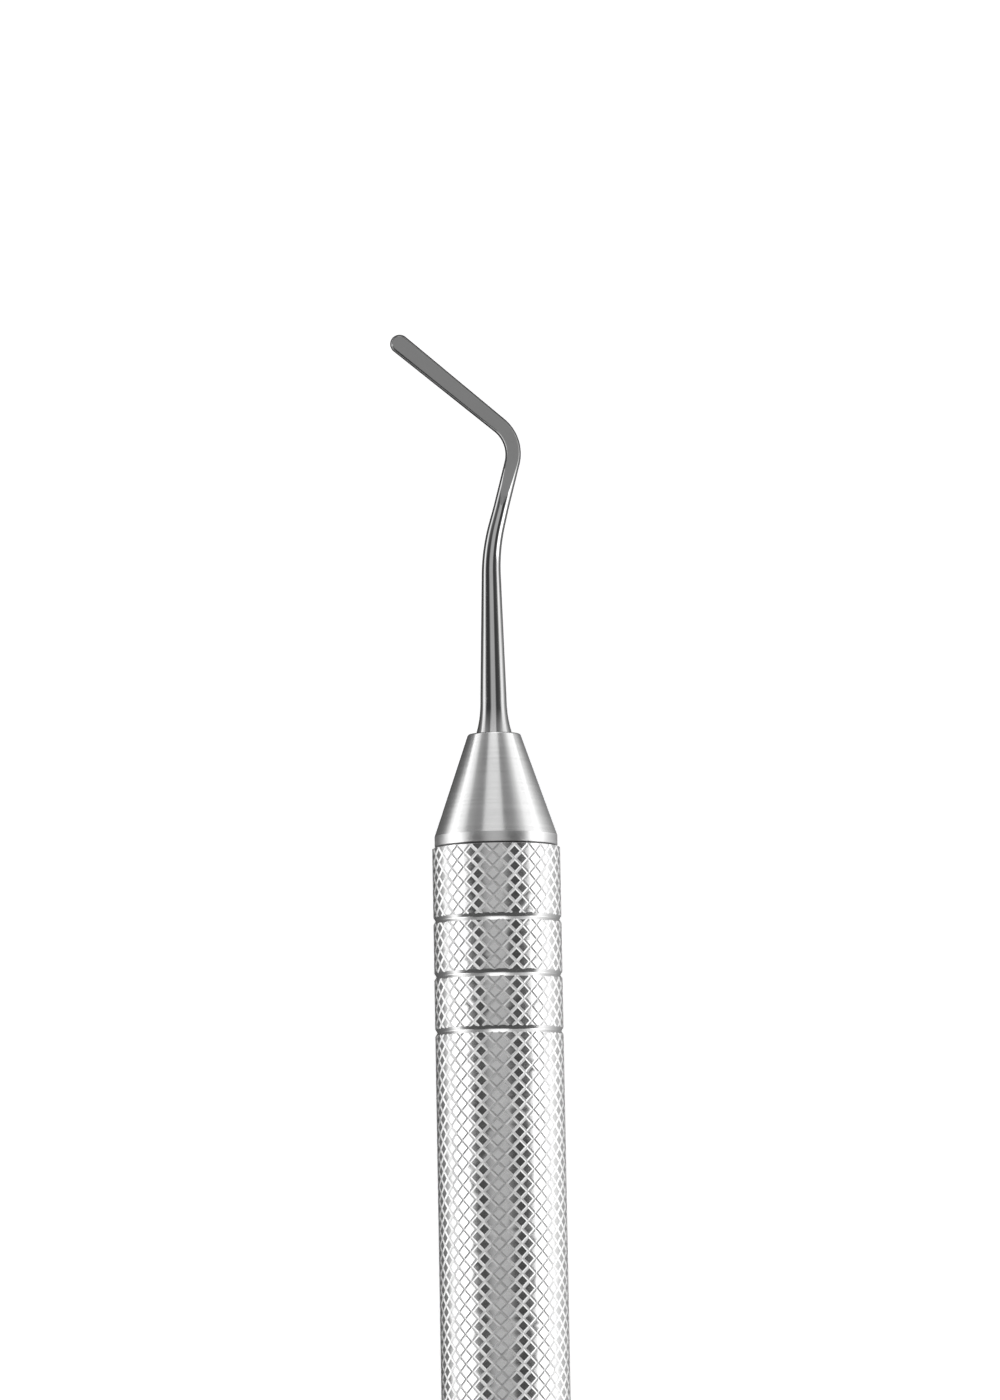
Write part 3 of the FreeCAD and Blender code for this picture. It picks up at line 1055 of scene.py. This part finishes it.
    def make_block(self, side: int) -> Object:
        """Model the block that a flat is cut with: its working face follows the flat's outline.

        Args:
            side: 1 for the upper flat, -1 for the lower.

        Returns:
            The block, in millimetres.
        """
        outline = self.flats_outline()
        width, thickness = self.block
        start, height = outline[0]
        bpy.ops.mesh.primitive_plane_add(size=1, rotation=(0, math.pi / 2, 0))
        block = begin_shape("grinding_block")
        bpy.ops.transform.resize(value=(1, width, thickness), center_override=(0, 0, 0))
        bpy.ops.transform.translate(value=(start, 0, side * (height + thickness / 2)))
        for along, next_height in outline[1:]:
            extrude((along - start, 0, side * (next_height - height)))
            start, height = along, next_height
        end_shape()
        return block


# ---- Hidden fittings ----


@dataclass(frozen=True)
class HiddenFittings:
    """The bushes and seal rings inside the handle, which keep their CAD shape.

    Attributes:
        nodes: The frame's CAD nodes by name.
    """

    nodes: dict[str, Object]

    def build(self) -> None:
        """Dress the fittings."""
        steel, rubber = BUSH_STEEL.material(), RubberFinish().material()
        for end in End:
            for name, material in (("end_bush_", steel), ("seal_ring_", rubber)):
                node = self.nodes[name + end.value]
                node.data.materials.clear()
                node.data.materials.append(material)
                LOG.info("%s: dressed", node.name)


# ---- Studio ----


@dataclass
class Studio:
    """Floor, light and camera.

    Attributes:
        floor_level: Height of the floor, in metres.
        aim: Point that the camera looks at, in metres.
        distance: Camera to that point, in metres.
        tilt: How far the camera stands back towards the handle's far end, in degrees.
        roll: How far the handle leans to the left in the picture, in degrees.
        field: Height that the picture spans at the aim, in metres.
        brightest: Radiance of the brightest light.
        overhead: Share of it by degrees about the handle's axis from straight up, across the handle.
        over_shank: The same a little further towards the handle's ends.
        ends: The same close to the handle's ends.
        wall: The same by sideways share of the direction, beyond end A.
        dark: The same beyond end B.
        to_shank: Lengthwise share of the direction where over_shank takes over.
        to_ends: The same for ends.
        to_wall: The same for wall.
        to_dark: The same for dark.
        shade: What the floor gives back in reflections, by centimetres across from the handle's axis.
        shade_strength: Radiance of that at full brightness.
        shade_aside: Metres along the handle, and how far the shade moves across to follow the blade.
        shade_cone: Metres along, and how much the shade is squeezed on the +Y side beside the cone.
        shade_shank: The same, to be added to that beside the shank.
        shade_blade: The same, to multiply it by beside the blade.
        shade_outside: Metres across, and how far the shade has gone back to its full width.
    """

    floor_level: float
    aim: Point = (0.0596, -0.00051, 0.0)
    distance: float = 0.45
    tilt: float = 6.5
    roll: float = 1.03
    field: float = 0.10965
    brightest: float = 3.2
    overhead: Stops = (
        (-118, 0.2), (-110, 0.5), (-104, 0.9), (-98, 1.0), (-74, 1.0), (-66, 1.0), (-60, 0.5),
        (-56, 0.13), (-50, 0.03), (-40, 0.02), (-17, 0.015), (-13, 0.17), (21, 0.17), (25, 0.015),
        (38, 0.02), (47, 0.04), (53, 0.17), (58, 0.6), (63, 1.0), (98, 1.0), (106, 0.7), (112, 0.3))
    over_shank: Stops = (
        (-118, 0.3), (-108, 0.45), (-77, 0.45), (-71, 0.2), (-62, 0.05), (-52, 0.03), (-26, 0.02),
        (-20, 0.1), (-15, 0.2), (14, 0.2), (22, 0.12), (27, 0.03), (36, 0.018), (62, 0.02), (72, 0.12),
        (80, 0.45), (104, 0.45), (112, 0.2))
    ends: Stops = (
        (-120, 0.25), (-104, 0.31), (-93, 0.375), (-80, 0.405), (-70, 0.375), (-63, 0.26), (-50, 0.15),
        (-43, 0.106), (-31, 0.088), (-19, 0.075), (-16, 0.26), (27, 0.26), (30, 0.08), (45, 0.088),
        (66, 0.13), (72, 0.28), (80, 0.36), (96, 0.4), (106, 0.375), (116, 0.3))
    wall: Stops = (
        (-0.9, 0.19), (-0.55, 0.25), (-0.45, 0.156), (-0.24, 0.156), (-0.2, 0.47), (0.2, 0.47),
        (0.24, 0.156), (0.45, 0.094), (0.9, 0.03))
    dark: float = 0.03
    to_shank: Change = (0.09, 0.115, 0.0, 1.0)
    to_ends: Change = (0.25, 0.6, 0.0, 1.0)
    to_wall: Change = (0.76, 0.84, 0.0, 1.0)
    to_dark: Change = (-0.54, -0.62, 0.0, 1.0)
    shade: Stops = (
        (-4.5, 1.0), (-3.0, 0.75), (-2.0, 0.58), (-1.2, 0.36), (-0.8, 0.22), (-0.4, 0.13), (0, 0.07),
        (0.5, 0.06), (0.7, 0.08), (1.4, 0.13), (2.0, 0.24), (2.7, 0.58), (3.4, 0.9), (4.2, 1.0))
    shade_strength: float = 1.5
    shade_aside: Change = (0.08, 0.088, 0.0, 0.007)
    shade_cone: Change = (0.05, 0.056, 1.0, 1.2)
    shade_shank: Change = (0.064, 0.072, 0.0, -0.7)
    shade_blade: Change = (0.08, 0.086, 1.0, 0.3)
    shade_outside: Change = (0.026, 0.034, 0.0, 1.0)

    def build(self) -> None:
        """Build the floor, the light and the camera."""
        self.make_floor()
        self.make_light()
        self.make_camera()
        scene = bpy.context.scene
        scene.view_settings.view_transform = "Standard"
        scene.cycles.use_denoising = True

    def make_floor(self) -> None:
        """Lay the pale floor; in reflections it darkens under the instrument, where it is shaded."""
        bpy.ops.mesh.primitive_plane_add(size=6.0, location=(0, 0, self.floor_level))
        floor = bpy.context.object
        floor.name = "floor"
        material, nodes = new_material("pale floor")
        seen = nodes.add("LightPath").outputs["Is Camera Ray"]
        place = nodes.add("SeparateXYZ", Vector=nodes.add("TexCoord").outputs["Object"])
        aside = nodes.spread(place.outputs["X"], self.shade_aside)
        across = nodes.math("SUBTRACT", place.outputs["Y"], aside)
        along = nodes.math("ABSOLUTE", place.outputs["X"])
        near_cone = nodes.spread(along, self.shade_cone)
        near_shank = nodes.spread(along, self.shade_shank)
        near_blade = nodes.spread(along, self.shade_blade)
        drawn_in = nodes.math("MULTIPLY", across, nodes.math("ADD", near_shank, near_cone))
        drawn_in = nodes.math("MAXIMUM", drawn_in, nodes.math("MINIMUM", across, 0.0))
        drawn_in = nodes.math("MULTIPLY", drawn_in, near_blade)
        far_out = nodes.spread(nodes.math("ABSOLUTE", across), self.shade_outside)
        across = nodes.math("MULTIPLY_ADD", nodes.math("SUBTRACT", across, drawn_in), far_out, drawn_in)
        shaded = nodes.ramp(nodes.spread(across, (-0.05, 0.05, 0.0, 1.0)), self.shade, 0.1)
        far = nodes.add("Emission", Color=shaded, Strength=self.shade_strength)
        paper = nodes.add("BsdfPrincipled", Base_Color=(0.85, 0.85, 0.85, 1), Roughness=0.9,
                          Emission_Color=(1, 1, 1, 1), Emission_Strength=0.7)
        mixed = nodes.add("MixShader", i0=seen, i1=far.outputs[0], i2=paper.outputs[0])
        nodes.add("OutputMaterial", Surface=mixed.outputs[0])
        floor.data.materials.append(material)
        floor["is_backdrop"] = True

    def make_light(self) -> None:
        """Surround the scene with soft strip lights that run along the handle."""
        world = bpy.data.worlds.new("studio")
        bpy.context.scene.world = world
        world.use_nodes = True
        nodes = Nodes(world.node_tree)
        parts = nodes.add("SeparateXYZ", Vector=nodes.add("TexCoord").outputs["Generated"])
        angle = nodes.math("ARCTAN2", parts.outputs["Y"], parts.outputs["Z"])
        along = nodes.math("ABSOLUTE", parts.outputs["X"])
        share = nodes.math("MULTIPLY_ADD", angle, 1 / (2 * math.pi), 0.5)
        light = nodes.ramp(share, self.overhead, 1 / 360)
        for change, stops in ((self.to_shank, self.over_shank), (self.to_ends, self.ends)):
            light = nodes.blend(nodes.spread(along, change), light, nodes.ramp(share, stops, 1 / 360))
        wall = nodes.ramp(nodes.spread(parts.outputs["Y"], (-1.0, 1.0, 0.0, 1.0)), self.wall, 0.5)
        dark = (self.dark, self.dark, self.dark, 1)
        for change, beyond in ((self.to_wall, wall), (self.to_dark, dark)):
            light = nodes.blend(nodes.spread(parts.outputs["X"], change), light, beyond)
        seen = nodes.add("LightPath").outputs["Is Camera Ray"]
        strips = nodes.add("Background", Color=light, Strength=self.brightest)
        backdrop = nodes.add("Background", Color=(1, 1, 1, 1), Strength=1.0)
        mixed = nodes.add("MixShader", i0=seen, i1=strips.outputs[0], i2=backdrop.outputs[0])
        nodes.add("OutputWorld", Surface=mixed.outputs[0])

    def make_camera(self) -> None:
        """Set up the camera over the working end, a little back towards the handle."""
        tilt, roll = math.radians(self.tilt), math.radians(self.roll)
        forward = Vector((math.sin(tilt), 0, -math.cos(tilt)))
        up = Vector((math.cos(roll), -math.sin(roll), 0))
        right = forward.cross(up).normalized()
        up = right.cross(forward)
        data = bpy.data.cameras.new("camera")
        data.sensor_width = 36.0
        data.lens = data.sensor_width * self.distance / self.field
        data.clip_start, data.clip_end = 0.01, 10.0
        camera = bpy.data.objects.new("camera", data)
        bpy.context.scene.collection.objects.link(camera)
        turn = Matrix((right, up, -forward)).transposed()
        place = Vector(self.aim) - forward * self.distance
        camera.matrix_world = Matrix.Translation(place) @ turn.to_4x4()
        bpy.context.scene.camera = camera


def main() -> None:
    """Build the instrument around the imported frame."""
    logging.basicConfig(level=logging.INFO, format="%(message)s")
    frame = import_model()
    cad_low, cad_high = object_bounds()
    tube_high = millimetres(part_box("handle_tube")[1])
    bush_high = millimetres(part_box("end_bush_a")[1])
    cone_low, cone_high = (millimetres(corner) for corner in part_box("nose_cone_a"))
    tang_start = millimetres(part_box("working_end_a")[0]).x
    Handle(half_length=tube_high.x, radius=tube_high.z - SHY, bore_radius=bush_high.z).build()
    NoseCone(tube_end=tube_high.x, face=cone_high.x, stem_end=cone_low.x, lip_radius=cone_high.z).build()
    WorkingEnd(face=cone_high.x, tang_start=tang_start).build()
    HiddenFittings(nodes=frame["nodes"]).build()
    Studio(floor_level=cad_low.z).build()


if __name__ == "__main__":
    main()
